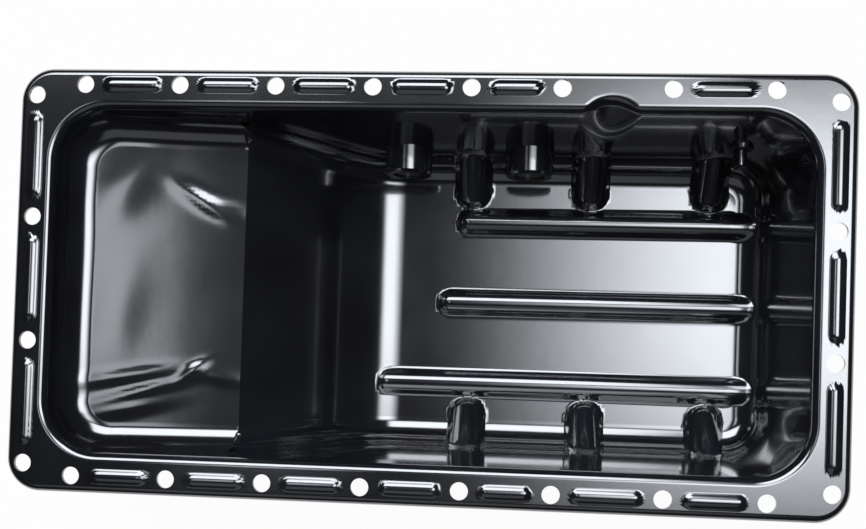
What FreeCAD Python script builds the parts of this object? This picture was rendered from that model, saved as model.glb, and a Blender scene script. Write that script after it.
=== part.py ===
import FreeCAD, Part
import math
import os

import Sketcher
from FreeCAD import Placement, Rotation, Vector

# Engine oil pan: a deep-drawn steel tub with a shallow end and a sump, hung from a bolted flange.
# Every piece is drawn about the flange: z = 0 is its top face, and the sump goes down from it.
# A finished piece is then lifted, so that the underside of the sump floor stands on z = 0.

doc = FreeCAD.newDocument("engine_oil_pan")

# Driving sizes: millimetres, with the angles in degrees.
SIZES = (
    ("metal", 2.0, "thickness of the drawn sheet"),
    ("flange_length", 511.0, "flange, over its rolled edge"),
    ("flange_width", 264.0, "flange, over its rolled edge"),
    ("flange_corner", 21.0, "outer corner radius of the flange"),
    ("lip_drop", 8.0, "height of the rolled edge"),
    ("lip_bend", 5.0, "outer radius of the rolled edge"),
    ("end_rim", 24.0, "edge of the flange to the inside of an end wall"),
    ("side_rim", 25.0, "edge of the flange to the inside of a long wall"),
    ("tub_corner", 33.0, "inside corner radius at the flange"),
    ("draft", 5.0, "lean of the walls"),
    ("mouth_bend", 5.0, "radius from the flange into the wall, upper face"),
    ("floor_bend", 16.0, "radius from the wall into the floor, inner face"),
    ("shallow_depth", 22.0, "depth of the shallow floor at its end wall"),
    ("shallow_fall", 5.0, "slope of the shallow floor towards the sump"),
    ("slope_angle", 45.0, "slope between the two floors"),
    ("slope_bend", 60.0, "radius over the top of the slope"),
    ("slope_foot", 56.0, "radius at the foot of the slope"),
    ("foot_x", -23.0, "where the flat sump floor begins"),
    ("deep_depth", 104.0, "depth of the sump floor"),
    ("hole_radius", 5.4, "flange bolt holes"),
    ("row_start", 42.5, "first hole of a long side to the shallow end of the flange"),
    ("row_finish", 48.5, "last hole of a long side to the deep end of the flange"),
    ("row_shift", 1.75, "long row outside the middle of the rim"),
    ("hole_nudge", 5.5, "sixth hole, moved clear of the bulge"),
    ("column_shift", 0.5, "end column outside the middle of the rim"),
    ("corner_inset", 17.5, "corner hole to the long edge of the flange"),
    ("column_pitch", 77.0, "spacing of the two middle holes of an end"),
    ("bead_width", 9.0, "stiffening bead between two holes, at its foot"),
    ("bead_rise", 1.6, "height of a bead"),
    ("bead_slope", 42.0, "slope of a bead's sides"),
    ("bead_gap", 12.0, "end of a bead to the axis of the next hole"),
    ("bulge_before_hole", 36.0, "middle of the bulge to the axis of the seventh hole"),
    ("bulge_reach", 6.4, "how far the bulge stands out at the flange"),
    ("bulge_radius", 24.0, "inner radius of the bulge"),
    ("bulge_lean", 14.0, "lean of the bulge, which runs out down the wall"),
    ("bulge_height", 40.0, "depth that the bulge's own form reaches to"),
    ("bulge_root", 6.0, "radius from the wall into the bulge"),
    ("rib_wall_gap", 50.0, "outer rib to the inside of the long wall"),
    ("rib_radius", 9.0, "radius of a rib's back"),
    ("rib_rise", 6.0, "height of a rib above the floor"),
    ("rib_end_gap", 23.5, "end of the ribs, in the floor bend, to the end wall"),
    ("front_rib_run", -19.0, "start of the rib on the plain side, from the foot of the slope"),
    ("middle_rib_run", 24.0, "start of the middle rib, from the foot of the slope"),
    ("rear_rib_run", 36.0, "start of the rib on the side of the drains, from the foot of the slope"),
    ("gusset_radius", 11.5, "radius of a corner gusset's back"),
    ("gusset_reach", 39.5, "tip of a gusset on the floor to the inside of the long wall"),
    ("gusset_lean", 35.0, "slope of a gusset from the floor to the wall"),
    ("gusset_end_gap", 43.5, "nearest gusset to the end wall"),
    ("gusset_pitch", 82.0, "spacing of the gussets"),
    ("boss_run", 3.5, "first drain boss, from the foot of the slope"),
    ("boss_pitch", 82.5, "spacing of the two drain bosses"),
    ("boss_height", 27.0, "axis of the bosses above the sump floor"),
    ("boss_radius", 16.5, "body of a boss"),
    ("boss_reach", 16.0, "boss, from the wall to its inner end"),
    ("boss_chamfer", 1.2, "edge of a boss"),
    ("spigot_radius", 13.5, "pilot of a boss through the wall"),
    ("spigot_stand", 2.5, "pilot's face beyond the wall at its axis"),
    ("plug_radius", 10.0, "drain plug's thread"),
    ("plug_length", 21.0, "drain plug below its head"),
    ("plug_point", 1.5, "chamfer at the plug's end"),
    ("plug_flange", 14.0, "radius of the flange under the plug's head"),
    ("plug_flange_height", 2.5, "height of that flange"),
    ("plug_flats", 22.0, "plug's hexagon across its flats"),
    ("plug_hex_height", 9.0, "height of the plug's hexagon"),
    ("washer_metal", 1.8, "thickness of the crush washers"),
    ("clip_end_gap", 32.5, "small screw to the end wall"),
    ("clip_height", 46.0, "axis of the small screw above the sump floor"),
    ("clip_radius", 4.0, "thread of the small screw"),
    ("clip_length", 18.0, "small screw below its head"),
    ("clip_nut_radius", 8.0, "round weld nut"),
    ("clip_nut_reach", 2.4, "weld nut, from the wall to its inner face"),
    ("clip_point", 0.7, "chamfer at the end of the small screw and on its nut"),
    ("clip_flange_height", 1.4, "height of the flange under the small screw's head"),
    ("clip_pilot_radius", 5.6, "weld nut's pilot through the wall"),
    ("clip_pilot_stand", 1.2, "pilot's face beyond the wall at its axis"),
    ("clip_flats", 13.0, "small screw's hexagon across its flats"),
    ("clip_hex_height", 5.3, "height of that hexagon"),
    ("clip_washer_radius", 7.8, "crush washer under the small screw"),
    ("clip_washer_metal", 1.5, "its thickness"),
    ("running_gap", 0.1, "clearance of a thread or a washer on its shank"),
)

dims = doc.addObject("Spreadsheet::Sheet", "dims")
for row, (alias, size, purpose) in enumerate(SIZES, start=1):
    dims.set("A%d" % row, purpose)
    dims.set("B%d" % row, str(size))
    dims.setAlias("B%d" % row, alias)
doc.recompute()


# Lengths that follow from the driving sizes: the tub hangs inside the flange's rim.
TUB_LENGTH = "(dims.flange_length - 2 * dims.end_rim)"
TUB_WIDTH = "(dims.flange_width - 2 * dims.side_rim)"
END_WALL_X = "(%s / 2)" % TUB_LENGTH
HOLES_IN_ROW = 8
BULGE_HOLE = 6
HOLE_PITCH = "((dims.flange_length - dims.row_start - dims.row_finish) / %d)" % (HOLES_IN_ROW - 1)
FIRST_HOLE_X = "(dims.row_start - dims.flange_length / 2)"
BULGE_X = "(%s + %d * %s - dims.bulge_before_hole)" % (FIRST_HOLE_X, BULGE_HOLE, HOLE_PITCH)
# How far a cutting form runs past the metal that it cuts.
OVERSHOOT = 20.0


def size(formula):
    """Work out a formula of the sheet's sizes as a plain number."""
    result = dims.evalExpression(formula)
    return float(getattr(result, "Value", result))


def bind(item, **formulas):
    """Bind properties of an object to formulas; a double underscore stands for a dot."""
    for name, formula in formulas.items():
        item.setExpression(name.replace("__", "."), formula)


def origin_plane(body, role):
    """The body's own origin plane of that role."""
    return next(plane for plane in body.Origin.OriginFeatures if plane.Role == role)


def new_sketch(body, name, role="XY_Plane"):
    """A sketch on one of the body's own origin planes."""
    sketch = body.newObject("Sketcher::SketchObject", name)
    sketch.AttachmentSupport = [(origin_plane(body, role), "")]
    sketch.MapMode = "FlatFace"
    return sketch


def set_size(sketch, name, formula, kind, *targets):
    """Add a named dimension to a sketch and bind it to a formula."""
    index = sketch.addConstraint(Sketcher.Constraint(kind, *targets, size(formula)))
    sketch.renameConstraint(index, name)
    sketch.setExpression("Constraints." + name, formula)


def rounded_rectangle(sketch, length, width, corner):
    """Draw a rectangle about the origin, with its corners rounded by tangent arcs."""
    reach_x = size(length) / 2
    reach_y = size(width) / 2
    radius = size(corner)
    inner_x = reach_x - radius
    inner_y = reach_y - radius
    sides = (
        ((-inner_x, -reach_y), (inner_x, -reach_y)),
        ((reach_x, -inner_y), (reach_x, inner_y)),
        ((inner_x, reach_y), (-inner_x, reach_y)),
        ((-reach_x, inner_y), (-reach_x, -inner_y)),
    )
    centres = ((inner_x, -inner_y), (inner_x, inner_y), (-inner_x, inner_y), (-inner_x, -inner_y))
    for start, end in sides:
        sketch.addGeometry(Part.LineSegment(Vector(*start, 0), Vector(*end, 0)), False)
    for turn, centre in enumerate(centres):
        circle = Part.Circle(Vector(*centre, 0), Vector(0, 0, 1), radius)
        first = math.radians(90 * turn - 90)
        sketch.addGeometry(Part.ArcOfCircle(circle, first, first + math.pi / 2), False)
    for side in range(4):
        arc = 4 + side
        sketch.addConstraint(Sketcher.Constraint("Tangent", side, 2, arc, 1))
        sketch.addConstraint(Sketcher.Constraint("Tangent", arc, 2, (side + 1) % 4, 1))
    for side in (0, 2):
        sketch.addConstraint(Sketcher.Constraint("Horizontal", side))
        sketch.addConstraint(Sketcher.Constraint("Vertical", side + 1))
    for arc in (5, 6, 7):
        sketch.addConstraint(Sketcher.Constraint("Equal", 4, arc))
    sketch.addConstraint(Sketcher.Constraint("Symmetric", 4, 3, 6, 3, -1, 1))
    set_size(sketch, "corner", corner, "Radius", 4)
    set_size(sketch, "length", length, "DistanceX", 3, 1, 1, 1)
    set_size(sketch, "width", width, "DistanceY", 0, 1, 2, 1)


def flatness(face):
    """How far a face lies flat: 1 for a floor, near 0 for a wall."""
    first_u, last_u, first_v, last_v = face.ParameterRange
    return abs(face.normalAt((first_u + last_u) / 2, (first_v + last_v) / 2).z)


def edges_between(shape, wanted):
    """Names of the edges whose two faces and whose middle satisfy the test."""
    names = []
    for index, edge in enumerate(shape.Edges, start=1):
        faces = shape.ancestorsOfType(edge, Part.Face)
        middle = edge.valueAt((edge.FirstParameter + edge.LastParameter) / 2)
        if len(faces) == 2 and wanted(faces, middle):
            names.append("Edge%d" % index)
    return names


WALL_FLATNESS = 0.45


def wall_meets_floor(faces, middle):
    """True on an edge below the flange where a wall meets a floor."""
    steep, flat = sorted(flatness(face) for face in faces)
    return middle.z < -1 and steep < WALL_FLATNESS < flat


def bulge_meets_wall(faces, middle):
    """True on the edge where the leaning bulge comes out of a drafted wall."""
    kinds = [face.Surface.TypeId for face in faces]
    if "Part::GeomCylinder" not in kinds:
        return False
    bulge = faces[kinds.index("Part::GeomCylinder")].Surface
    across = abs(middle.x - size(BULGE_X))
    leans = abs(bulge.Axis.y) > math.sin(math.radians(size("dims.draft"))) / 2
    reach = size("dims.bulge_height + dims.bulge_radius")
    return leans and across < size("dims.bulge_radius") and -1 > middle.z > -reach


def floor_profile(sketch, grow):
    """Draw what is cut away below the floor, seen from the side; grow is the offset of the floor."""
    left = "-%s - %g" % (END_WALL_X, OVERSHOOT)
    right = "%s + %g" % (END_WALL_X, OVERSHOOT)
    start_z = "-dims.shallow_depth - %s / cos(dims.shallow_fall) + %g * tan(dims.shallow_fall)" % (
        grow, OVERSHOOT)
    deep_z = "-dims.deep_depth - %s" % grow
    over = "dims.slope_bend - %s" % grow
    foot = "dims.slope_foot + %s" % grow
    fall = math.radians(size("dims.shallow_fall"))
    steep = math.radians(size("dims.slope_angle"))
    # The two bends touch the shallow floor, the slope and the deep floor; the slope's line is where
    # its distance from the centre of the foot bend is that bend's radius.
    foot_centre = Vector(size("dims.foot_x"), size(deep_z) + size(foot), 0)
    foot_point = foot_centre + Vector(-math.sin(steep), -math.cos(steep), 0) * size(foot)
    start = Vector(size(left), size(start_z), 0)
    inner_fall = Vector(-math.sin(fall), -math.cos(fall), 0)
    inner_steep = Vector(-math.sin(steep), -math.cos(steep), 0)
    along_fall = Vector(math.cos(fall), -math.sin(fall), 0)
    along_steep = Vector(math.cos(steep), -math.sin(steep), 0)
    offset = foot_point + inner_steep * size(over) - start - inner_fall * size(over)
    turn = along_fall.x * along_steep.y - along_fall.y * along_steep.x
    run = (offset.x * along_steep.y - offset.y * along_steep.x) / turn
    over_start = start + along_fall * run
    over_centre = over_start + inner_fall * size(over)
    over_end = over_centre - inner_steep * size(over)
    deep_end = Vector(size(right), size(deep_z), 0)
    below = Vector(0, -OVERSHOOT, 0)
    upright = Vector(0, 0, 1)
    over_arc = Part.Circle(over_centre, upright, size(over))
    foot_arc = Part.Circle(foot_centre, upright, size(foot))
    quarter = math.pi / 2
    sketch.addGeometry([
        Part.LineSegment(start, over_start),
        Part.ArcOfCircle(over_arc, quarter - steep, quarter - fall),
        Part.LineSegment(over_end, foot_point),
        Part.ArcOfCircle(foot_arc, -quarter - steep, -quarter),
        Part.LineSegment(Vector(foot_centre.x, deep_end.y, 0), deep_end),
        Part.LineSegment(deep_end, deep_end + below),
        Part.LineSegment(deep_end + below, Vector(start.x, deep_end.y, 0) + below),
        Part.LineSegment(Vector(start.x, deep_end.y, 0) + below, start),
    ], False)
    sketch.addConstraint([
        Sketcher.Constraint("Tangent", 0, 2, 1, 2),
        Sketcher.Constraint("Tangent", 1, 1, 2, 1),
        Sketcher.Constraint("Tangent", 2, 2, 3, 1),
        Sketcher.Constraint("Tangent", 3, 2, 4, 1),
        Sketcher.Constraint("Horizontal", 4),
        Sketcher.Constraint("Coincident", 4, 2, 5, 1),
        Sketcher.Constraint("Vertical", 5),
        Sketcher.Constraint("Coincident", 5, 2, 6, 1),
        Sketcher.Constraint("Horizontal", 6),
        Sketcher.Constraint("Coincident", 6, 2, 7, 1),
        Sketcher.Constraint("Vertical", 7),
        Sketcher.Constraint("Coincident", 7, 2, 0, 1),
    ])
    set_size(sketch, "start_x", left, "DistanceX", -1, 1, 0, 1)
    set_size(sketch, "start_z", start_z, "DistanceY", -1, 1, 0, 1)
    set_size(sketch, "fall", "-dims.shallow_fall", "Angle", 0)
    set_size(sketch, "slope", "-dims.slope_angle", "Angle", 2)
    set_size(sketch, "over", over, "Radius", 1)
    set_size(sketch, "foot", foot, "Radius", 3)
    set_size(sketch, "foot_x", "dims.foot_x", "DistanceX", -1, 1, 4, 1)
    set_size(sketch, "deep_z", deep_z, "DistanceY", -1, 1, 4, 1)
    set_size(sketch, "end_x", right, "DistanceX", -1, 1, 4, 2)
    set_size(sketch, "below", "%g" % OVERSHOOT, "DistanceY", 5, 2, 5, 1)


def tub_form(name, grow):
    """The drawn tub as a solid: its inside for a grow of 0, its outside for a grow of the metal."""
    body = doc.addObject("PartDesign::Body", name)
    plan = new_sketch(body, name + "_plan")
    wall_shift = " + 2 * %s / cos(dims.draft)" % grow
    rounded_rectangle(plan, TUB_LENGTH + wall_shift, TUB_WIDTH + wall_shift,
                      "dims.tub_corner + %s / cos(dims.draft)" % grow)
    walls = body.newObject("PartDesign::Pad", name + "_walls")
    walls.Profile = plan
    walls.Reversed = True
    bind(walls, Length="dims.deep_depth + %g / 2" % OVERSHOOT, TaperAngle="-dims.draft")
    side = new_sketch(body, name + "_side", "XZ_Plane")
    floor_profile(side, grow)
    floor = body.newObject("PartDesign::Pocket", name + "_floor")
    floor.Profile = side
    floor.SideType = "Symmetric"
    floor.Type = "ThroughAll"
    doc.recompute()
    bend = body.newObject("PartDesign::Fillet", name + "_bend")
    bend.Base = (floor, edges_between(floor.Shape, wall_meets_floor))
    bind(bend, Radius="dims.floor_bend + %s" % grow)
    body.Tip = bend
    doc.recompute()
    bulge = body.newObject("PartDesign::AdditiveCylinder", name + "_bulge")
    bulge.Placement = Placement(Vector(), Rotation(Vector(1, 0, 0), -1))
    bind(bulge, Radius="dims.bulge_radius + %s" % grow,
         Height="(dims.bulge_height + dims.lip_drop) / cos(dims.bulge_lean)",
         Placement__Base__x=BULGE_X,
         Placement__Base__y=TUB_WIDTH + " / 2 + dims.bulge_reach"
                                        " - dims.bulge_radius / cos(dims.bulge_lean)"
                                        " - dims.bulge_height * tan(dims.bulge_lean)",
         Placement__Base__z="-dims.bulge_height",
         Placement__Rotation__Angle="-dims.bulge_lean")
    top = body.newObject("PartDesign::SubtractiveBox", name + "_top")
    bind(top, Length=TUB_LENGTH, Width="2 * " + TUB_WIDTH, Height="3 * dims.lip_drop",
         Placement__Base__x="-" + END_WALL_X,
         Placement__Base__y="-" + TUB_WIDTH)
    body.Tip = top
    doc.recompute()
    root = body.newObject("PartDesign::Fillet", name + "_root")
    root.Base = (top, edges_between(top.Shape, bulge_meets_wall))
    bind(root, Radius="dims.bulge_root - %s" % grow)
    body.Tip = root
    doc.recompute()
    return body


def boolean(kind, name, *items):
    """A boolean of document objects, of kind Cut, Common or MultiFuse."""
    result = doc.addObject("Part::" + kind, name)
    if kind == "MultiFuse":
        result.Shapes = items
        result.Refine = True
    else:
        result.Base, result.Tool = items
    return result


def round_bar(start, end, radius):
    """A round bar between two points, with a ball at each end."""
    along = end - start
    length = along.Length
    half = radius * math.sqrt(0.5)
    near_ball = Part.Arc(Vector(-radius, 0, 0), Vector(-half, 0, half), Vector(0, 0, radius))
    far_ball = Part.Arc(Vector(length, 0, radius), Vector(length + half, 0, half),
                        Vector(length + radius, 0, 0))
    profile = Part.Wire([
        near_ball.toShape(),
        Part.makeLine(Vector(0, 0, radius), Vector(length, 0, radius)),
        far_ball.toShape(),
        Part.makeLine(Vector(length + radius, 0, 0), Vector(-radius, 0, 0)),
    ])
    bar = Part.Face(profile).revolve(Vector(), Vector(1, 0, 0), 360)
    bar.Placement = Placement(start, Rotation(Vector(1, 0, 0), along))
    return bar


def ridges(name, grow):
    """The round bars that press the three floor ribs and the six corner gussets into the tub."""
    bars = []
    shrink = size(grow)
    floor_z = -size("dims.deep_depth")
    rib_radius = size("dims.rib_radius")
    rib_z = floor_z + size("dims.rib_rise") - rib_radius
    rib_y = size(TUB_WIDTH + " / 2 - dims.rib_wall_gap")
    ribs = (("dims.front_rib_run", -rib_y), ("dims.middle_rib_run", 0), ("dims.rear_rib_run", rib_y))
    for run, y in ribs:
        start = Vector(size("dims.foot_x + " + run) + rib_radius, y, rib_z)
        end = Vector(size(END_WALL_X + " - dims.rib_end_gap") - rib_radius, y, rib_z)
        bars.append(round_bar(start, end, rib_radius - shrink))
    gusset_radius = size("dims.gusset_radius")
    lean = math.radians(size("dims.gusset_lean"))
    wall_y = size(TUB_WIDTH) / 2
    ball_y = wall_y - size("dims.gusset_reach") + gusset_radius
    length = (wall_y - ball_y + 2 * gusset_radius) / math.cos(lean)
    for place in range(3):
        x = size(END_WALL_X + " - dims.gusset_end_gap") - place * size("dims.gusset_pitch")
        for side in (-1, 1):
            start = Vector(x, side * ball_y, floor_z)
            end = start + Vector(0, side * math.cos(lean), math.sin(lean)) * length
            bars.append(round_bar(start, end, gusset_radius - shrink))
    feature = doc.addObject("Part::Feature", name)
    feature.Shape = Part.makeCompound(bars)
    return feature


# The tub's inside and outside, each with the bars that press its ribs and gussets inwards.
forms = {}
tubs = {}
for form, grow in (("cavity", "0"), ("outside", "dims.metal")):
    tubs[form] = tub_form(form, grow)
    forms[form] = boolean("Cut", form + "_ribbed", tubs[form], ridges(form + "_ridges", grow))

# The flange: a plate with its edge rolled down, hollow beneath.
flange = doc.addObject("PartDesign::Body", "flange")
flange_plan = new_sketch(flange, "flange_plan")
rounded_rectangle(flange_plan, "dims.flange_length", "dims.flange_width", "dims.flange_corner")
flange_block = flange.newObject("PartDesign::Pad", "flange_block")
flange_block.Profile = flange_plan
flange_block.Reversed = True
bind(flange_block, Length="dims.lip_drop")
doc.recompute()


def round_the_rim(faces, middle):
    """True on the edges between the flange's top and its sides."""
    steep, flat = sorted(flatness(face) for face in faces)
    return abs(middle.z) < 0.01 and steep < WALL_FLATNESS < flat


rim = flange.newObject("PartDesign::Fillet", "flange_rim")
rim.Base = (flange_block, edges_between(flange_block.Shape, round_the_rim))
bind(rim, Radius="dims.lip_bend")
flange.Tip = rim
doc.recompute()
lowest = min(range(len(rim.Shape.Faces)), key=lambda index: rim.Shape.Faces[index].CenterOfMass.z)
sheet = flange.newObject("PartDesign::Thickness", "flange_sheet")
sheet.Base = (rim, ["Face%d" % (lowest + 1)])
sheet.Reversed = True
bind(sheet, Value="dims.metal")
flange.Tip = sheet
doc.recompute()

# The bolt holes go round the flange as a list of formulas, in order, so that beads lie between them.
ROW_Y = "(dims.flange_width / 2 - dims.side_rim / 2 + dims.row_shift)"
COLUMN_X = "(dims.flange_length / 2 - dims.end_rim / 2 + dims.column_shift)"
row_x = ["%s + %d * %s" % (FIRST_HOLE_X, step, HOLE_PITCH) for step in range(HOLES_IN_ROW)]
row_x[BULGE_HOLE - 1] += " - dims.hole_nudge"
column_y = ["-dims.flange_width / 2 + dims.corner_inset", "-dims.column_pitch / 2",
            "dims.column_pitch / 2", "dims.flange_width / 2 - dims.corner_inset"]
hole_lines = (
    [(x, "-" + ROW_Y) for x in row_x],
    [(COLUMN_X, y) for y in column_y],
    [(x, ROW_Y) for x in row_x],
    [("-" + COLUMN_X, y) for y in column_y],
)

hole_plan = new_sketch(flange, "hole_plan")
for index, (x, y) in enumerate(hole for line in hole_lines for hole in line):
    centre = Vector(size(x), size(y), 0)
    hole_plan.addGeometry(Part.Circle(centre, Vector(0, 0, 1), size("dims.hole_radius")), False)
    set_size(hole_plan, "hole_x_%d" % index, x, "DistanceX", -1, 1, index, 3)
    set_size(hole_plan, "hole_y_%d" % index, y, "DistanceY", -1, 1, index, 3)
    if index:
        hole_plan.addConstraint(Sketcher.Constraint("Equal", 0, index))
set_size(hole_plan, "hole_radius", "dims.hole_radius", "Radius", 0)
holes = flange.newObject("PartDesign::Pocket", "flange_holes")
holes.Profile = hole_plan
holes.Type = "ThroughAll"
flange.Tip = holes
doc.recompute()


def slot(first, last, reach):
    """The outline of a straight slot between two points, with round ends."""
    along = (last - first).normalize()
    out = Vector(-along.y, along.x, 0) * reach
    ahead = along * reach
    return Part.Wire([
        Part.makeLine(first - out, last - out),
        Part.Arc(last - out, last + ahead, last + out).toShape(),
        Part.makeLine(last + out, first + out),
        Part.Arc(first + out, first - ahead, first - out).toShape(),
    ])


def beads(name, reach, level):
    """Flat-backed beads between the holes of each side, but not at the bulge.

    Their sides and ends slope; reach is half their width at the foot, and level is the foot's height.
    """
    outlines = []
    stand_off = size("dims.bead_gap + dims.bead_width / 2")
    for line in hole_lines:
        places = [Vector(size(x), size(y), size(level)) for x, y in line]
        for first, last in zip(places, places[1:]):
            beside_bulge = first.y > 0 and first.x < size(BULGE_X) < last.x
            if beside_bulge:
                continue
            shift = (last - first).normalize() * stand_off
            outlines.append(slot(first + shift, last - shift, size(reach)))
    plan = doc.addObject("Part::Feature", name + "_plan")
    plan.Shape = Part.makeCompound(outlines)
    backs = doc.addObject("Part::Extrusion", name)
    backs.Base = plan
    backs.DirMode = "Custom"
    backs.Dir = Vector(0, 0, 1)
    backs.Solid = True
    bind(backs, LengthFwd="dims.bead_rise", TaperAngle="dims.bead_slope - 90")
    return backs


raised_beads = beads("raised_beads", "dims.bead_width / 2", "0")
# The groove under a bead is its own form, one thickness of metal within it.
bead_grooves = beads("bead_grooves", "dims.bead_width / 2 - dims.metal * tan(dims.bead_slope / 2)",
                     "-dims.metal")

# Holes in the wall for the pilots of the welded pieces.
BOSS_DEPTH = "(dims.deep_depth - dims.boss_height)"
CLIP_DEPTH = "(dims.deep_depth - dims.clip_height)"
BOSS_WALL = "(%s / 2 - %s * tan(dims.draft))" % (TUB_WIDTH, BOSS_DEPTH)
CLIP_WALL = "(%s / 2 - %s * tan(dims.draft))" % (TUB_WIDTH, CLIP_DEPTH)
CLIP_X = "(%s - dims.clip_end_gap)" % END_WALL_X
WALL_THROUGH = "dims.metal / cos(dims.draft)"
BOSS_X = {"left": "(dims.foot_x + dims.boss_run)",
          "right": "(dims.foot_x + dims.boss_run + dims.boss_pitch)"}


def across(name, radius, x, depth, start_y, length):
    """A cylinder that lies along Y, as the welded pieces do."""
    item = doc.addObject("Part::Cylinder", name)
    item.Placement = Placement(Vector(), Rotation(Vector(1, 0, 0), -90))
    bind(item, Radius=radius, Height=length, Placement__Base__x=x, Placement__Base__y=start_y,
         Placement__Base__z="-" + depth)
    return item


wall_holes = [
    across("wall_hole_" + side, "dims.spigot_radius", x, BOSS_DEPTH,
           BOSS_WALL + " - dims.boss_reach", "2 * dims.boss_reach")
    for side, x in BOSS_X.items()
]
wall_holes.append(across("wall_hole_clip", "dims.clip_pilot_radius", CLIP_X, CLIP_DEPTH,
                         CLIP_WALL + " - dims.clip_length / 2", "dims.clip_length"))

# The pan itself: flange, tub and beads are one pressing.
solid_pan = boolean("MultiFuse", "solid_pan", flange, forms["outside"], raised_beads)
pan_waste = boolean("MultiFuse", "pan_waste", forms["cavity"], bead_grooves, *wall_holes)
sharp_pan = boolean("Cut", "sharp_pan", solid_pan, pan_waste)
doc.recompute()


def mouth_edges(shape, level):
    """Numbers of the edges at a level of the flange where it turns into the tub's wall."""
    numbers = []
    reach_x = size(END_WALL_X + " + 2 * dims.metal")
    reach_y = size(TUB_WIDTH + " / 2 + 2 * dims.metal + dims.bulge_reach")
    rim = size("7 * dims.hole_radius")
    for index, edge in enumerate(shape.Edges, start=1):
        middle = edge.valueAt((edge.FirstParameter + edge.LastParameter) / 2)
        hole = edge.Length < rim and edge.isClosed()
        in_tub = abs(middle.x) < reach_x and abs(middle.y) < reach_y
        if hole or not in_tub or abs(middle.z - level) > 0.01:
            continue
        steep, flat = sorted(flatness(face) for face in shape.ancestorsOfType(edge, Part.Face))
        if steep < WALL_FLATNESS < flat:
            numbers.append(index)
    return numbers


pan = doc.addObject("Part::Fillet", "pan")
pan.Base = sharp_pan
upper = size("dims.mouth_bend")
lower = size("dims.mouth_bend - dims.metal")
pan.Edges = (
    [(number, upper, upper) for number in mouth_edges(sharp_pan.Shape, 0)]
    + [(number, lower, lower) for number in mouth_edges(sharp_pan.Shape, -size("dims.metal"))]
)
doc.recompute()


def turned(name, outline, x, wall_y, depth):
    """A piece turned about an axis along Y: the outline gives its radius and its place along Y."""
    body = doc.addObject("PartDesign::Body", name)
    profile = new_sketch(body, name + "_profile")
    corners = [Vector(size(radius), size(along), 0) for radius, along in outline]
    last = len(corners) - 1
    for start, end in zip(corners, corners[1:] + corners[:1]):
        profile.addGeometry(Part.LineSegment(start, end), False)
    for index, (radius, along) in enumerate(outline):
        before = index - 1 if index else last
        profile.addConstraint(Sketcher.Constraint("Coincident", before, 2, index, 1))
        set_size(profile, "radius_%d" % index, radius, "DistanceX", -1, 1, index, 1)
        set_size(profile, "along_%d" % index, along, "DistanceY", -1, 1, index, 1)
    spun = body.newObject("PartDesign::Revolution", name + "_spun")
    spun.Profile = profile
    spun.ReferenceAxis = (profile, ["V_Axis"])
    spun.Angle = 360
    body.Tip = spun
    bind(body, Placement__Base__x=x, Placement__Base__y=wall_y, Placement__Base__z="-" + depth)
    return body


def ring(name, bore, outer, start, end, place):
    """A plain turned ring."""
    return turned(name, ((bore, start), (outer, start), (outer, end), (bore, end)), *place)


def welded_boss(name, sizes, place):
    """A boss that is turned, seated on the wall from inside, with a pilot that shows outside."""
    bore, body_radius, pilot, reach, chamfer, stand = sizes
    seat = "(%s + %s)" % (WALL_THROUGH, stand)
    shoulder = turned(name + "_shoulder", (
        (bore, "-" + reach),
        (body_radius + " - " + chamfer, "-" + reach),
        (body_radius, "-" + reach + " + " + chamfer),
        (body_radius, body_radius),
        (bore, body_radius),
    ), *place)
    seated = boolean("Common", name + "_seated", shoulder, forms["cavity"])
    stem = ring(name + "_pilot", bore, pilot, "-" + reach + " / 2", seat, place)
    return boolean("MultiFuse", name, seated, stem)


# A hexagon's bevelled corners: their drop as a share of the corner radius, and the round face left
# on top as a share of the flats.
HEX_BEVEL = 0.12
HEX_FACE = 0.92


def hex_screw(name, sizes, place):
    """A flanged hexagon screw from outside: its shank, its flange and its chamfered head."""
    thread, length, point, flange_radius, flange_height, flats, head_height, seat = sizes
    shank = turned(name + "_shank", (
        ("0", seat + " - " + length),
        (thread + " - " + point, seat + " - " + length),
        (thread, seat + " - " + length + " + " + point),
        (thread, seat),
        (flange_radius, seat),
        (flange_radius, seat + " + " + flange_height),
        ("0", seat + " + " + flange_height),
    ), *place)
    corner = "(%s / 2 / cos(30))" % flats
    top = seat + " + " + flange_height + " + " + head_height
    cap = turned(name + "_cap", (
        ("0", seat + " + " + flange_height + " / 2"),
        (corner, seat + " + " + flange_height + " / 2"),
        (corner, "%s - %s * %g" % (top, corner, HEX_BEVEL)),
        ("%s / 2 * %g" % (flats, HEX_FACE), top),
        ("0", top),
    ), *place)
    hexagon = doc.addObject("Part::Prism", name + "_hexagon")
    hexagon.Polygon = 6
    hexagon.Placement = Placement(Vector(), Rotation(Vector(1, 0, 0), -90))
    bind(hexagon, Circumradius=corner, Height=head_height + " + " + flange_height,
         Placement__Base__x=place[0], Placement__Base__y=place[1] + " + " + seat,
         Placement__Base__z="-" + place[2])
    return boolean("MultiFuse", name, shank, boolean("Common", name + "_head", hexagon, cap))


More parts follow.
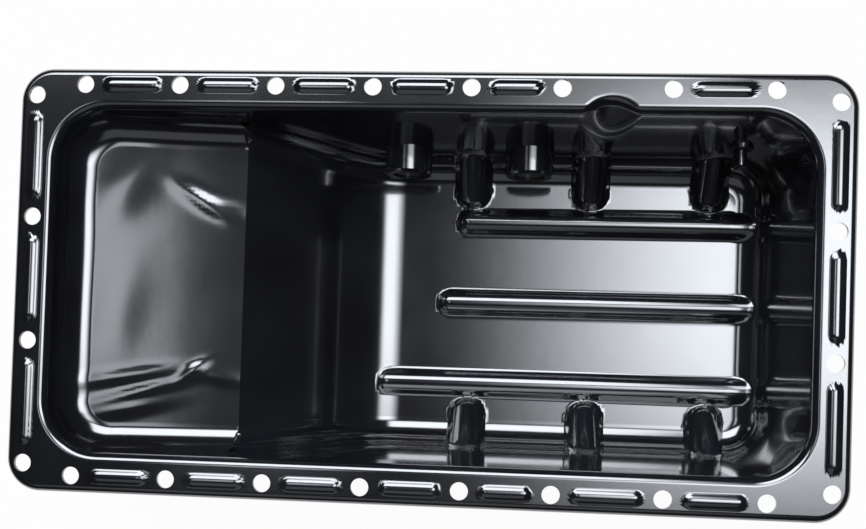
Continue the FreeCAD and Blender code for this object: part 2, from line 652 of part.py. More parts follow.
pieces = {"pan_shell": pan}
BOSS_SIZES = ("dims.plug_radius + dims.running_gap", "dims.boss_radius", "dims.spigot_radius",
              "dims.boss_reach", "dims.boss_chamfer", "dims.spigot_stand")
BOSS_SEAT = "(%s + dims.spigot_stand)" % WALL_THROUGH
PLUG_SIZES = ("dims.plug_radius", "dims.plug_length", "dims.plug_point", "dims.plug_flange",
              "dims.plug_flange_height", "dims.plug_flats", "dims.plug_hex_height",
              "(%s + dims.washer_metal)" % BOSS_SEAT)
for side, x in BOSS_X.items():
    place = (x, BOSS_WALL, BOSS_DEPTH)
    pieces["drain_boss_" + side] = welded_boss("drain_boss_" + side, BOSS_SIZES, place)
    pieces["drain_plug_" + side] = hex_screw("drain_plug_" + side, PLUG_SIZES, place)
    pieces["plug_washer_" + side] = ring(
        "plug_washer_" + side, "dims.plug_radius + dims.running_gap", "dims.plug_flange",
        BOSS_SEAT, BOSS_SEAT + " + dims.washer_metal", place)

CLIP_SEAT = "(%s + dims.clip_pilot_stand)" % WALL_THROUGH
place = (CLIP_X, CLIP_WALL, CLIP_DEPTH)
pieces["weld_nut"] = welded_boss("weld_nut", (
    "dims.clip_radius + dims.running_gap", "dims.clip_nut_radius", "dims.clip_pilot_radius",
    "dims.clip_nut_reach", "dims.clip_point", "dims.clip_pilot_stand"), place)
pieces["nut_screw"] = hex_screw("nut_screw", (
    "dims.clip_radius", "dims.clip_length", "dims.clip_point", "dims.clip_washer_radius",
    "dims.clip_flange_height", "dims.clip_flats", "dims.clip_hex_height",
    "(%s + dims.clip_washer_metal)" % CLIP_SEAT), place)
pieces["nut_washer"] = ring(
    "nut_washer", "dims.clip_radius + dims.running_gap", "dims.clip_washer_radius",
    CLIP_SEAT, CLIP_SEAT + " + dims.clip_washer_metal", place)
doc.recompute()

# Each finished piece is lifted with the flange, so that the underside of the sump is at z = 0.
FLANGE_TOP = "dims.deep_depth + dims.metal"
for name, piece in pieces.items():
    piece.Label = name
    drawn = {path.strip("."): formula for path, formula in piece.ExpressionEngine}
    level = drawn.get("Placement.Base.z", "0")
    bind(piece, Placement__Base__z=level + " + " + FLANGE_TOP)
doc.recompute()

for item in doc.Objects:
    if "Invalid" in item.State or "Error" in item.State:
        raise RuntimeError("%s did not build" % item.Name)
for name, piece in pieces.items():
    if piece.Shape.isNull() or not piece.Shape.isValid() or len(piece.Shape.Solids) != 1:
        raise RuntimeError("%s is not one sound solid" % name)

os.makedirs("parts", exist_ok=True)
for name, piece in pieces.items():
    piece.Shape.exportStep(os.path.join("parts", piece.Label + ".step"))
    box = piece.Shape.BoundBox
    print("%-18s %8.1f cm3  z %.2f to %.2f" % (name, piece.Shape.Volume / 1000, box.ZMin, box.ZMax))
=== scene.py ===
import math

import bmesh
import bpy
import numpy as np
from mathutils import Matrix, Vector


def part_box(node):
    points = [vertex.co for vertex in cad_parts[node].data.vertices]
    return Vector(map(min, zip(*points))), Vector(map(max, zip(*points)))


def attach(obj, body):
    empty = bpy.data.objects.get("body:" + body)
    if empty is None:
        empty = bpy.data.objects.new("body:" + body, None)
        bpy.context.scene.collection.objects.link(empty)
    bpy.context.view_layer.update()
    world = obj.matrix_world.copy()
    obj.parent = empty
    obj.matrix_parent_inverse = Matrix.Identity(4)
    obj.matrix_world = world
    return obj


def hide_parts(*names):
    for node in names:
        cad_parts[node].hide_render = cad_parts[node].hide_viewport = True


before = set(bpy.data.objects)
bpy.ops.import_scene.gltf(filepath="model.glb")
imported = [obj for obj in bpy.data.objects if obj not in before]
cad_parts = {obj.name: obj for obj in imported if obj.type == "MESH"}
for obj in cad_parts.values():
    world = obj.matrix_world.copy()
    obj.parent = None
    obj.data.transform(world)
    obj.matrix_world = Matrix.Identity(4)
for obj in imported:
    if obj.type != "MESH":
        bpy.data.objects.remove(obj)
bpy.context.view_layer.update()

# Pan shell
# One pressing of 2 mm steel sheet: bolt flange with a rolled edge and raised beads, drafted tub,
# shallow floor, slope and ribbed sump. It is drawn in a press, trimmed, punched and painted black.
# Sizes here are millimetres from the top of the flange, and the finished mesh is brought to metres.
MM = 0.001
METAL = 2.0
DRAFT = math.radians(5.0)
FLANGE_HALF = (255.5, 132.0)
FLANGE_CORNER = 21.0
LIP_BEND = 5.0
LIP_DROP = 8.0
TUB_HALF = (231.5, 107.0)
TUB_CORNER = 33.0
MOUTH_BEND = 5.0
FLOOR_BEND = 16.0
BEAD_RISE = 1.6
DEEP = 104.0
shell_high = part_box("pan_shell")[1]
FLANGE_TOP = shell_high.z - BEAD_RISE * MM


def rounded_distance(x, y, half, corner):
    """Distance outside a rectangle with round corners, below 0 inside it."""
    over_x = np.abs(x) - (half[0] - corner)
    over_y = np.abs(y) - (half[1] - corner)
    outside = np.hypot(np.maximum(over_x, 0), np.maximum(over_y, 0))
    return outside + np.minimum(np.maximum(over_x, over_y), 0) - corner


def both(first, second, radius):
    """Open space within two boundaries; where they meet, the metal has an inner radius."""
    u = np.maximum(radius - first, 0)
    v = np.maximum(radius - second, 0)
    return np.maximum(radius, np.minimum(first, second)) - np.hypot(u, v)


def either(first, second, radius):
    """Open space past either of two boundaries; where they meet, the metal has an outer radius."""
    u = np.maximum(radius + first, 0)
    v = np.maximum(radius + second, 0)
    return np.minimum(-radius, np.maximum(first, second)) + np.hypot(u, v)


def from_bar(place, start, end, radius):
    """Distance from a round bar with ball ends."""
    start = np.array(start, float)
    along = np.array(end, float) - start
    share = np.clip((place - start) @ along / (along @ along), 0, 1)
    return np.linalg.norm(place - start - share[:, None] * along, axis=1) - radius


# The floor's side view: shallow floor, a bend over into the slope, and the foot bend to the sump.
SHALLOW = 22.0
FALL = math.tan(math.radians(5.0))
SLOPE_TURN = math.radians(45.0)
SLOPE = math.tan(SLOPE_TURN)
FOOT_X = -23.0
FOOT_BEND = 56.0
OVER_BEND = 0.1
slope_meets_sump = FOOT_X - FOOT_BEND * math.tan(SLOPE_TURN / 2)
slope_meets_shallow = (
    (SLOPE * slope_meets_sump + FALL * TUB_HALF[0] + SHALLOW - DEEP) / (SLOPE - FALL))


def bend(x, corner, before, after, radius):
    """What a bend of that radius adds below a corner between two slopes, as seen from the side."""
    turn = abs(math.atan(after) - math.atan(before)) / 2
    reach = radius * math.tan(turn)
    across = np.clip(1 - np.abs(x - corner) / reach, 0, 1)
    return across * across * reach * abs(after - before) / 4


# Draw marks in the shallow floor, where the sheet gathers before the slope: place, turn in degrees,
# half length, half width and height.
DRAW_MARKS = (
    (-145, 54, -32, 18, 5.0, 1.0), (-125, 49, -20, 16, 6.0, 0.7), (-198, 62, 55, 30, 15.0, 0.8),
    (-186, -58, 10, 34, 4.5, 0.9), (-180, -68, 16, 30, 4.0, 0.9), (-188, -79, 12, 26, 5.0, 0.7),
    (-148, -54, 35, 10, 3.5, 0.9), (-128, -58, -10, 20, 5.0, 0.7), (-200, -20, 80, 40, 16.0, 0.5),
)


def floor_height(x, y):
    """Height of the floor of the tub, with the draw marks."""
    shallow = -SHALLOW - FALL * (x + TUB_HALF[0])
    slope = -DEEP - SLOPE * (x - slope_meets_sump)
    height = np.maximum(np.minimum(shallow, slope), -DEEP)
    height = height + bend(x, slope_meets_sump, -SLOPE, 0, FOOT_BEND)
    height = height - bend(x, slope_meets_shallow, -FALL, -SLOPE, OVER_BEND)
    for mark_x, mark_y, turned, half_length, half_width, rise in DRAW_MARKS:
        cosine, sine = math.cos(math.radians(turned)), math.sin(math.radians(turned))
        along = ((x - mark_x) * cosine + (y - mark_y) * sine) / half_length
        across = ((y - mark_y) * cosine - (x - mark_x) * sine) / half_width
        height = height + rise * np.exp(-along * along - across * across)
    return height


# What is pressed up from the sheet: ribs in the sump floor, corner gussets and flange beads.
RIB_RADIUS = 9.0
RIB_RISE = 6.0
RIB_FOOT = 2.0
RIB_END_X = 232.0
RIBS = ((-42.0, -57.0), (1.0, 0.0), (13.0, 57.0))
GUSSET_RADIUS = 11.5
GUSSET_FOOT = 2.5
GUSSET_TIP_Y = 67.5
GUSSET_LEAN = math.radians(35.0)
GUSSET_RUN = 60.0
GUSSET_X = (24.0, 106.0, 188.0)
BEAD_WIDTH = 8.6
BEAD_FOOT = 0.6
BEAD_GAP = 12.0
BEAD_RADIUS = ((BEAD_WIDTH / 2) ** 2 + BEAD_RISE ** 2) / (2 * BEAD_RISE)
ROW_Y = 121.25
ROW_START = -213.0
ROW_PITCH = 60.0
ROW_HOLES = 8
UNEVEN_HOLE = 5
UNEVEN_SHIFT = 5.5
COLUMN_X = 244.0
HOLE_RADIUS = 5.4
row_x = [ROW_START + ROW_PITCH * step for step in range(ROW_HOLES)]
row_x[UNEVEN_HOLE] -= UNEVEN_SHIFT
column_y = (-114.5, -38.5, 38.5, 114.5)
hole_rows = [[(x, side * ROW_Y) for x in row_x] for side in (-1, 1)]
hole_rows += [[(side * COLUMN_X, y) for y in column_y] for side in (-1, 1)]
BULGE_X = 111.0
BULGE_RADIUS = 18.0
BULGE_REACH = 6.4
BULGE_LEAN = math.radians(14.0)
BULGE_ROOT = 4.0

pressed = []
for start_x, y in RIBS:
    level = RIB_RISE - RIB_RADIUS - DEEP
    pressed.append(((start_x + RIB_RADIUS, y, level), (RIB_END_X, y, level), RIB_RADIUS, RIB_FOOT))
for x in GUSSET_X:
    for side in (-1, 1):
        ball_y = GUSSET_TIP_Y + GUSSET_RADIUS
        pressed.append((
            (x, side * ball_y, -DEEP),
            (x, side * (ball_y + GUSSET_RUN), -DEEP + GUSSET_RUN * math.tan(GUSSET_LEAN)),
            GUSSET_RADIUS, GUSSET_FOOT))
beads = []
for row in hole_rows:
    for (x, y), (next_x, next_y) in zip(row, row[1:]):
        beside_bulge = y > 0 and x < BULGE_X < next_x
        if beside_bulge:
            continue
        stand_off = BEAD_GAP + BEAD_WIDTH / 2
        step = np.array([next_x - x, next_y - y])
        step = step / np.linalg.norm(step) * stand_off
        level = BEAD_RISE - BEAD_RADIUS
        beads.append(((x + step[0], y + step[1], level),
                      (next_x - step[0], next_y - step[1], level)))

# How steep the floor is along the pan, taken where no draw mark reaches.
CLEAR_OF_MARKS = 200.0
FLOOR_SAMPLES = np.linspace(-280.0, 280.0, 2241)
floor_fall = np.gradient(
    floor_height(FLOOR_SAMPLES, np.full_like(FLOOR_SAMPLES, CLEAR_OF_MARKS)), FLOOR_SAMPLES)


def bulge_space(place):
    """Open space of the bulge: a leaning cylinder that runs out into the long wall."""
    x, y, z = place.T
    axis_y = TUB_HALF[1] + BULGE_REACH - BULGE_RADIUS / math.cos(BULGE_LEAN)
    across = (y - axis_y - z * math.tan(BULGE_LEAN)) * math.cos(BULGE_LEAN)
    return BULGE_RADIUS - np.hypot(x - BULGE_X, across)


def tub_space(place):
    """Open space inside the tub, before anything is pressed up from its floor."""
    x, y, z = place.T
    inward = -rounded_distance(x, y, TUB_HALF, TUB_CORNER)
    walls = inward * math.cos(DRAFT) + z * math.sin(DRAFT)
    steep = np.interp(x, FLOOR_SAMPLES, floor_fall)
    floor = (z - floor_height(x, y)) / np.sqrt(1 + steep * steep)
    return both(either(walls, bulge_space(place), BULGE_ROOT), floor, FLOOR_BEND)


def plain_space(place):
    """Open space over the pan's sheet with nothing pressed up: distance from its upper face."""
    x, y, z = place.T
    over = either(tub_space(place), z, MOUTH_BEND)
    return either(over, rounded_distance(x, y, FLANGE_HALF, FLANGE_CORNER), LIP_BEND)


def space(place):
    """The same with the ribs, gussets and beads."""
    open_space = plain_space(place)
    for start, end, radius, foot in pressed:
        open_space = both(open_space, from_bar(place, start, end, radius), foot)
    for start, end in beads:
        open_space = both(open_space, from_bar(place, start, end, BEAD_RADIUS), BEAD_FOOT)
    return open_space


PROBE = 0.02
NO_LENGTH = 1e-9


def unit(ways):
    """The same directions, each of length 1."""
    return ways / np.maximum(np.linalg.norm(ways, axis=1), NO_LENGTH)[:, None]


def facing(form, place):
    """The unit normal of a form's surface at each place."""
    steps = np.eye(3) * PROBE
    return unit(np.stack([form(place + step) - form(place - step) for step in steps], 1))


# The outline of the tub, in equal steps from corner to corner, with the way out at each step.
STEP = 2.5
ON_BORDER = 1 - 1e-6
corner_reach = math.pi / 4 * TUB_CORNER


def side_steps(half_length):
    """How many steps a side of the outline takes, with half of each corner beside it."""
    return 2 * round((half_length - TUB_CORNER + corner_reach) / STEP)


STEPS_X = side_steps(TUB_HALF[0])
STEPS_Y = side_steps(TUB_HALF[1])


def outline(column, row, half, corner):
    """Point on a rounded rectangle for a border place of the floor's grid, and the way out."""
    u = 2 * column / STEPS_X - 1
    v = 2 * row / STEPS_Y - 1
    long_side = abs(v) > ON_BORDER
    share = u if long_side else v
    straight = TUB_HALF[0 if long_side else 1] - TUB_CORNER
    away = abs(share) * (straight + corner_reach)
    sign_u = 1 if u > 0 else -1
    sign_v = 1 if v > 0 else -1
    centre = np.array([sign_u * (half[0] - corner), sign_v * (half[1] - corner)])
    if away > straight:
        turn = (away - straight) / TUB_CORNER
        out = (math.sin(turn), math.cos(turn)) if long_side else (math.cos(turn), math.sin(turn))
        out = np.array([sign_u * out[0], sign_v * out[1]])
        return centre + out * corner, out
    along = share * (straight + corner_reach) / straight
    if long_side:
        return np.array([along * (half[0] - corner), sign_v * half[1]]), np.array([0.0, sign_v])
    return np.array([sign_u * half[0], along * (half[1] - corner)]), np.array([sign_u, 0.0])


def floor_depth(x):
    """Depth of the floor at one place along the pan, without draw marks."""
    return -floor_height(np.array([x]), np.array([CLEAR_OF_MARKS]))[0]


QUARTER_TURN = math.radians(90.0)
FLOOR_BEND_TURN = math.radians(85.0)
FLOOR_BEND_STEPS = 10
WALL_STEPS = 14
WALL_CROWDING = 1.3
LEAST_WALL = 0.5
MOUTH_STEPS = 6


def section(depth):
    """The tub's wall from the floor to the flange: steps outwards and heights, from the outline."""
    rings = []
    centre_z = -depth + FLOOR_BEND
    centre_s = centre_z * math.tan(DRAFT) - FLOOR_BEND / math.cos(DRAFT)
    for step in range(1, FLOOR_BEND_STEPS + 1):
        turn = FLOOR_BEND_TURN * step / FLOOR_BEND_STEPS
        rings.append((centre_s + FLOOR_BEND * math.sin(turn),
                      centre_z - FLOOR_BEND * math.cos(turn)))
    top_z = -MOUTH_BEND
    low_z = min(rings[-1][1], top_z - LEAST_WALL)
    for step in range(1, WALL_STEPS + 1):
        share = (step / WALL_STEPS) ** WALL_CROWDING
        z = low_z + (top_z - low_z) * share
        rings.append((z * math.tan(DRAFT), z))
    for step in range(1, MOUTH_STEPS + 1):
        turn = QUARTER_TURN * step / MOUTH_STEPS
        rings.append((MOUTH_BEND * (1 - math.cos(turn)),
                      -MOUTH_BEND + MOUTH_BEND * math.sin(turn)))
    return rings


LAND_STEPS = 22
LIP_STEPS = 5
WALL_RINGS = len(section(DEEP))
RINGS = WALL_RINGS + LAND_STEPS + LIP_STEPS + 1


def ring_place(column, row, ring):
    """Where a border place of the floor's grid goes in that ring outwards."""
    point, out = outline(column, row, TUB_HALF, TUB_CORNER)
    if ring <= WALL_RINGS:
        depth = floor_depth(point[0] - out[0] * FLOOR_BEND)
        if ring == 0:
            shift = (FLOOR_BEND - depth) * math.tan(DRAFT) - FLOOR_BEND / math.cos(DRAFT)
            return (*(point + out * shift), -depth)
        shift, z = section(depth)[ring - 1]
        return (*(point + out * shift), z)
    far, far_out = outline(column, row, FLANGE_HALF, FLANGE_CORNER)
    beyond = ring - WALL_RINGS
    if beyond <= LAND_STEPS:
        near = point + out * MOUTH_BEND
        last = far - far_out * LIP_BEND
        return (*(near + (last - near) * beyond / LAND_STEPS), 0.0)
    turn = QUARTER_TURN * min(beyond - LAND_STEPS, LIP_STEPS) / LIP_STEPS
    drop = -LIP_BEND + LIP_BEND * math.cos(turn)
    if beyond > LAND_STEPS + LIP_STEPS:
        drop = -LIP_DROP
    return (*(far - far_out * LIP_BEND * (1 - math.sin(turn))), drop)


# The sheet starts as the floor's grid, and its border is extruded ring by ring up the walls,
# over the flange and down the rolled edge.
sheet = bmesh.new()
bmesh.ops.create_grid(sheet, x_segments=STEPS_X, y_segments=STEPS_Y, size=1.0)
column_of = sheet.verts.layers.int.new("column")
row_of = sheet.verts.layers.int.new("row")
for corner in sheet.verts:
    corner[column_of] = round((corner.co.x + 1) / 2 * STEPS_X)
    corner[row_of] = round((corner.co.y + 1) / 2 * STEPS_Y)
edge = {}
for column in range(STEPS_X + 1):
    for row in (0, STEPS_Y):
        edge[column, row] = np.array(ring_place(column, row, 0))
for row in range(STEPS_Y + 1):
    for column in (0, STEPS_X):
        edge[column, row] = np.array(ring_place(column, row, 0))
for corner in sheet.verts:
    column, row = corner[column_of], corner[row_of]
    u, v = column / STEPS_X, row / STEPS_Y
    place = ((1 - v) * edge[column, 0] + v * edge[column, STEPS_Y]
             + (1 - u) * edge[0, row] + u * edge[STEPS_X, row]
             - (1 - u) * ((1 - v) * edge[0, 0] + v * edge[0, STEPS_Y])
             - u * ((1 - v) * edge[STEPS_X, 0] + v * edge[STEPS_X, STEPS_Y]))
    corner.co = place
# One line of points is set on the crease at the top of the slope.
CREASE_SPREAD = 12
crease_column = min(
    range(STEPS_X + 1), key=lambda column: abs(edge[column, 0][0] - slope_meets_shallow))
crease_points = [corner for corner in sheet.verts if corner[column_of] == crease_column]
crease_x = {corner[row_of]: corner.co.x for corner in crease_points}
border = [side for side in sheet.edges if side.is_boundary]
for ring in range(1, RINGS + 1):
    grown = bmesh.ops.extrude_edge_only(sheet, edges=border)["geom"]
    border = [side for side in grown if isinstance(side, bmesh.types.BMEdge)]
    border = [side for side in border if side.is_boundary]
    for corner in {end for side in border for end in side.verts}:
        corner.co = ring_place(corner[column_of], corner[row_of], ring)

sheet.verts.ensure_lookup_table()
places = np.array([corner.co for corner in sheet.verts], float)
columns = np.array([corner[column_of] for corner in sheet.verts])
rows = np.array([corner[row_of] for corner in sheet.verts])
on_crease = columns == crease_column
shift = slope_meets_shallow - np.array([crease_x[row] for row in rows])
places[:, 0] += shift * np.clip(1 - np.abs(columns - crease_column) / CREASE_SPREAD, 0, 1)
floor_points = slice(0, (STEPS_X + 1) * (STEPS_Y + 1))
places[floor_points, 2] = floor_height(*places[floor_points, :2].T)
# The points settle on the plain form; those of the crease keep their place along the pan.
SETTLE_ROUNDS = 6
for _ in range(SETTLE_ROUNDS):
    pull = facing(plain_space, places)
    pull[on_crease, 0] = 0
    pull /= np.sum(pull * pull, axis=1)[:, None]
    places -= plain_space(places)[:, None] * pull
# Each point then looks into the open, away from wall and floor alike, and comes back to the
# first metal that it meets: the plain sheet, or the back of a rib, gusset or bead.
x, y, z = places.T
LOOK = 50.0
START = 30.0
BEFORE_SUMP = 40.0
TOUCHING = 1e-4
APPROACH_ROUNDS = 60
inward = -rounded_distance(x, y, TUB_HALF, TUB_CORNER)
plan_out = facing(lambda p: rounded_distance(p[:, 0], p[:, 1], TUB_HALF, TUB_CORNER), places)
above = z - floor_height(x, y)
in_sump = (inward > 0) & (x > FOOT_X - BEFORE_SUMP)
look = -plan_out * np.maximum(LOOK - inward, 0)[:, None]
look[:, 2] = np.maximum(LOOK - above, 0.0)
plain_facing = facing(plain_space, places)
look = np.where(in_sump[:, None], look, plain_facing)
look = unit(look)
moved = np.abs(space(places)) > TOUCHING
away = np.where(moved, START, 0.0)
for _ in range(APPROACH_ROUNDS):
    away -= np.where(moved, space(places + look * away[:, None]), 0)
places += look * away[:, None]
upper_facing = facing(space, places)
for corner, place in zip(sheet.verts, places):
    corner.co = place

# The underside is the same sheet, one thickness of metal further out, joined at the cut edge.
lower = bmesh.ops.duplicate(sheet, geom=sheet.verts[:] + sheet.edges[:] + sheet.faces[:])
bmesh.ops.reverse_faces(
    sheet, faces=[face for face in lower["geom"] if isinstance(face, bmesh.types.BMFace)])
under = [corner for corner in lower["geom"] if isinstance(corner, bmesh.types.BMVert)]
for corner, way in zip(under, upper_facing):
    corner.co = corner.co - Vector(way) * METAL
bmesh.ops.bridge_loops(sheet, edges=[side for side in sheet.edges if side.is_boundary])
bmesh.ops.recalc_face_normals(sheet, faces=sheet.faces[:])


def new_piece(name, mesh):
    """An object from a bmesh, in the scene."""
    data = bpy.data.meshes.new(name)
    mesh.to_mesh(data)
    mesh.free()
    piece = bpy.data.objects.new(name, data)
    bpy.context.scene.collection.objects.link(piece)
    return piece


punched = new_piece("pressed_pan", sheet)

# The punch: flange holes straight down, and the holes for the welded pieces across the wall.
PUNCH_LENGTH = 10.0
PUNCH_SEGMENTS = 48
DRILL_LENGTH = 30.0
DRILL_SEGMENTS = 64
DRILL_Y = 104.0
WALL_HOLES = ((-19.5, -77.0, 13.5), (63.0, -77.0, 13.5), (199.0, -58.0, 5.6))
punch = bmesh.new()
for x, y in [hole for row in hole_rows for hole in row]:
    bmesh.ops.create_cone(
        punch, cap_ends=True, segments=PUNCH_SEGMENTS, radius1=HOLE_RADIUS, radius2=HOLE_RADIUS,
        depth=PUNCH_LENGTH, matrix=Matrix.Translation((x, y, -METAL / 2)))
for x, z, radius in WALL_HOLES:
    bmesh.ops.create_cone(
        punch, cap_ends=True, segments=DRILL_SEGMENTS, radius1=radius, radius2=radius,
        depth=DRILL_LENGTH,
        matrix=Matrix.Translation((x, DRILL_Y, z)) @ Matrix.Rotation(math.pi / 2, 4, "X"))
punches = new_piece("punches", punch)
cut = punched.modifiers.new("holes", "BOOLEAN")
cut.object = punches
cut.solver = "EXACT"
depsgraph = bpy.context.evaluated_depsgraph_get()
data = bpy.data.meshes.new_from_object(punched.evaluated_get(depsgraph))
for spare in (punched, punches):
    bpy.data.objects.remove(spare)

# Normals come from the form itself, so that the paint's reflections run smoothly, each taken a
# little towards its face's middle, so that creases and cut edges stay sharp.
INWARD = 0.1
ALONG_FORM = 0.5
vertex = np.zeros(len(data.vertices) * 3)
data.vertices.foreach_get("co", vertex)
vertex = vertex.reshape(-1, 3)
loop_vertex = np.zeros(len(data.loops), int)
data.loops.foreach_get("vertex_index", loop_vertex)
middles = np.zeros(len(data.polygons) * 3)
data.polygons.foreach_get("center", middles)
flats = np.zeros(len(data.polygons) * 3)
data.polygons.foreach_get("normal", flats)
corners = np.zeros(len(data.polygons), int)
data.polygons.foreach_get("loop_total", corners)
middles = np.repeat(middles.reshape(-1, 3), corners, axis=0)
flats = np.repeat(flats.reshape(-1, 3), corners, axis=0)
places = vertex[loop_vertex] * (1 - INWARD) + middles * INWARD
way = facing(space, places)
way[space(places) < -METAL / 2] *= -1
smooth = np.sum(way * flats, axis=1) > ALONG_FORM
loop_normals = np.where(smooth[:, None], way, flats)
data.polygons.foreach_set("use_smooth", [True] * len(data.polygons))
data.transform(Matrix.Translation((0, 0, FLANGE_TOP)) @ Matrix.Scale(MM, 4))
data.normals_split_custom_set(loop_normals.tolist())
pan = bpy.data.objects.new("pan_pressing", data)
bpy.context.scene.collection.objects.link(pan)


class Socket:
    """A node's output with arithmetic: an expression on sockets adds the Math nodes it needs."""

    def __init__(self, shader, output):
        self.shader = shader
        self.output = output

    def maths(self, operation, *others):
        return self.shader.node("ShaderNodeMath", {"operation": operation}, self, *others)

    def __add__(self, other):
        return self.maths("ADD", other)

    def __mul__(self, other):
        return self.maths("MULTIPLY", other)

    def __sub__(self, other):
        return self.maths("SUBTRACT", other)

    def __rsub__(self, other):
        return self.shader.node("ShaderNodeMath", {"operation": "SUBTRACT"}, other, self)

    def __truediv__(self, other):
        return self.maths("DIVIDE", other)

    __radd__ = __add__
    __rmul__ = __mul__


class Nodes:
    """A node tree and one way to make any node in it."""

    def __init__(self, owner):
        owner.use_nodes = True
        self.tree = owner.node_tree

    def node(self, kind, settings, *values, output=0, **named):
        made = self.tree.nodes.new(kind)
        for setting, value in settings.items():
            if setting == "stops":
                ramp = made.color_ramp
                while len(ramp.elements) < len(value):
                    ramp.elements.new(0.5)
                for stop, (position, colour) in zip(ramp.elements, value):
                    stop.position = position
                    stop.color = colour
            else:
                setattr(made, setting, value)
        inputs = dict(enumerate(values))
        inputs.update((socket.replace("_", " "), value) for socket, value in named.items())
        for socket, value in inputs.items():
            self.join(made.inputs[socket], value)
        return Socket(self, made.outputs[output])

    def join(self, target, value):
        if isinstance(value, Socket):
            self.tree.links.new(value.output, target)
        else:
            target.default_value = value


class Shader(Nodes):
    """A material's node tree round one Principled shader."""

    def __init__(self, name, **constants):
        self.material = bpy.data.materials.new(name)
        super().__init__(self.material)
        self.surface = self.tree.nodes["Principled BSDF"]
        for socket, value in constants.items():
            self.surface.inputs[socket.replace("_", " ")].default_value = value
        self.place = self.node("ShaderNodeTexCoord", {}, output="Object")

    def drive(self, socket, value):
        self.join(self.surface.inputs[socket], value)


def noise(shader, scale, detail=2.0, **settings):
    """A noise pattern of so many grains to a metre, from 0 to 1."""
    return shader.node("ShaderNodeTexNoise", settings, output="Fac",
                       Vector=shader.place, Scale=scale, Detail=detail)


def mottle(shader, scale, *stops):
    """A base colour that drifts between two with a noise pattern."""
    shader.drive("Base Color", shader.node(
        "ShaderNodeValToRGB", {"stops": stops}, Fac=noise(shader, scale)))


enamel = Shader("gloss_black_enamel", IOR=2.0, Coat_Weight=1.0, Coat_IOR=1.6, Coat_Roughness=0.06)
mottle(enamel, 14.0, (0.35, (0.006, 0.006, 0.008, 1)), (0.7, (0.014, 0.015, 0.019, 1)))
enamel.drive("Roughness", noise(enamel, 30.0) * 0.05 + 0.11)
enamel.drive("Normal", enamel.node(
    "ShaderNodeBump", {}, Strength=0.12, Distance=0.0004, output="Normal",
    Height=noise(enamel, 60.0, 3.0)))


def finish_node(node, shader):
    """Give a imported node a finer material, its mesh as it is."""
    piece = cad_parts[node]
    for index in range(len(piece.material_slots)):
        piece.material_slots[index].material = shader.material


pan.data.materials.append(enamel.material)
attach(pan, "root")
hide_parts("pan_shell")

# Drain bosses and weld nut
# Turned steel bushes put through the wall from inside and welded, then painted with the pan.
# The small screw in the weld nut is black too.
for node in ("drain_boss_left", "drain_boss_right", "weld_nut", "nut_screw"):
    finish_node(node, enamel)

# Drain plugs
# Flanged hexagon screws, zinc plated, screwed into the bosses from outside.
zinc = Shader("zinc_plate", Metallic=1.0)
mottle(zinc, 220.0, (0.3, (0.42, 0.42, 0.44, 1)), (0.75, (0.62, 0.62, 0.61, 1)))
zinc.drive("Roughness", noise(zinc, 400.0) * 0.15 + 0.24)
for node in ("drain_plug_left", "drain_plug_right"):
    finish_node(node, zinc)

# Crush washers
# Soft copper rings, stamped, squeezed between each screw's head and its seat.
copper = Shader("soft_copper", Metallic=1.0)
mottle(copper, 260.0, (0.3, (0.50, 0.25, 0.15, 1)), (0.75, (0.74, 0.42, 0.28, 1)))
copper.drive("Roughness", noise(copper, 500.0) * 0.2 + 0.3)
for node in ("plug_washer_left", "plug_washer_right", "nut_washer"):
    finish_node(node, copper)

# Floor
# A pale studio floor under the pan: lit white paper that keeps the pan's soft shadow.
FLOOR_SIZE = 3.0
floor_mesh = bmesh.new()
bmesh.ops.create_grid(floor_mesh, x_segments=1, y_segments=1, size=FLOOR_SIZE)
floor = new_piece("floor", floor_mesh)
paper = Shader("floor_paper", Roughness=0.9)
mottle(paper, 6.0, (0.3, (0.88, 0.88, 0.89, 1)), (0.7, (0.92, 0.92, 0.92, 1)))
GLOW_SHARE = 0.96
seen = paper.node("ShaderNodeLightPath", {}, output="Is Camera Ray")
path = seen.output.node
for kind in ("Is Glossy Ray", "Is Transmission Ray"):
    seen = seen + Socket(paper, path.outputs[kind])
seen = paper.node("ShaderNodeMath", {"operation": "MINIMUM"}, seen, 1.0)
glow = paper.node("ShaderNodeEmission", {}, (1, 1, 1, 1), 1.0)
lit = Socket(paper, paper.surface.outputs[0])
paper.join(paper.tree.nodes["Material Output"].inputs["Surface"],
           paper.node("ShaderNodeMixShader", {}, seen * GLOW_SHARE, lit, glow))
floor.data.materials.append(paper.material)

# Studio light
# Large soft panels round the pan, drawn in the world by direction: sideways and lengthways slopes
# from straight up, each panel with soft edges. A dim even light fills what they leave, and the
# camera sees a white backdrop.
studio = bpy.data.worlds.new("studio")
bpy.context.scene.world = studio
sky = Nodes(studio)
LOWEST = 0.02
way_up = sky.node("ShaderNodeSeparateXYZ", {},
                  sky.node("ShaderNodeTexCoord", {}, output="Generated"), output="Z")
parts = way_up.output.node
height = sky.node("ShaderNodeMath", {"operation": "MAXIMUM"}, way_up, LOWEST)
lean_x = Socket(sky, parts.outputs["X"]) / height
lean_y = Socket(sky, parts.outputs["Y"]) / height


def edge_fade(lean, dark, bright):
    """0 at the dark slope, 1 at the bright one, soft between."""
    return sky.node("ShaderNodeMapRange", {"interpolation_type": "SMOOTHSTEP"},
                    lean, dark, bright, 0.0, 1.0)


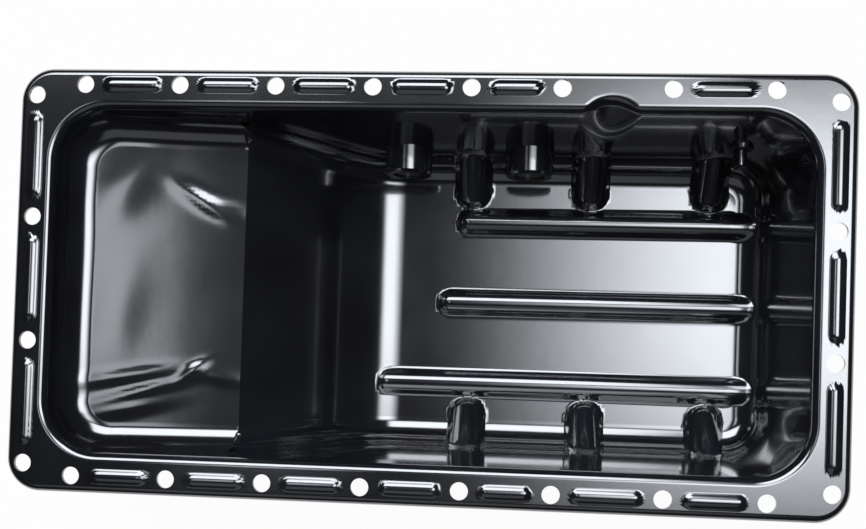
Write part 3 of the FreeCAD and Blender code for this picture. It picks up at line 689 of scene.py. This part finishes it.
def panel(left, right, near, far, level):
    """A soft-edged panel; each side gives the slope where it is dark and where it is full."""
    return (edge_fade(lean_x, *left) * edge_fade(lean_x, *right)
            * edge_fade(lean_y, *near) * edge_fade(lean_y, *far) * level)


FILL = 0.02
panels = (
    panel((-0.10, 0.24), (0.62, 0.42), (-0.22, 0.06), (0.40, 0.20), 6.5),
    panel((-0.42, -0.31), (-0.175, -0.218), (-0.11, 0.02), (0.25, 0.20), 2.2),
    panel((-0.85, -0.60), (0.30, 0.10), (0.38, 0.44), (1.30, 1.05), 6.5),
    panel((-0.85, -0.60), (0.45, 0.15), (-1.60, -1.20), (-0.40, -0.52), 0.25),
)
light = FILL
for one in panels:
    light = one + light
seen = sky.node("ShaderNodeLightPath", {}, output="Is Camera Ray")
light = light * (1 - seen) + seen
background = sky.tree.nodes["Background"]
background.inputs["Color"].default_value = (0.90, 0.94, 1.0, 1)
sky.join(background.inputs["Strength"], light)

# Camera
# Above the pan, a little right of its middle. The focal length is chosen; principal point, place
# and turn are fitted to the centres of the flange's bolt holes. Lengths of the picture are pixels.
FOCUS = 950.0
FRAME_WIDTH = 866.0
FRAME_HEIGHT = 529.0
AXIS_POINT = (454.04, 362.26)
CAMERA_PLACE = Vector((0.0651, -0.0552, FLANGE_TOP + 0.5668))
CAMERA_TURN = Vector((1.160, 4.363, 1.779))
camera_data = bpy.data.cameras.new("camera")
camera_data.sensor_width = 36.0
camera_data.lens = FOCUS / FRAME_WIDTH * camera_data.sensor_width
camera_data.shift_x = (FRAME_WIDTH / 2 - AXIS_POINT[0]) / FRAME_WIDTH
camera_data.shift_y = (AXIS_POINT[1] - FRAME_HEIGHT / 2) / FRAME_WIDTH
camera_data.clip_start = 0.01
camera = bpy.data.objects.new("camera", camera_data)
turn = Matrix.Rotation(math.radians(CAMERA_TURN.length), 4, CAMERA_TURN.normalized())
camera.matrix_world = Matrix.Translation(CAMERA_PLACE) @ turn
bpy.context.scene.collection.objects.link(camera)
bpy.context.scene.camera = camera
bpy.context.scene.view_settings.view_transform = "Standard"

bpy.context.view_layer.update()
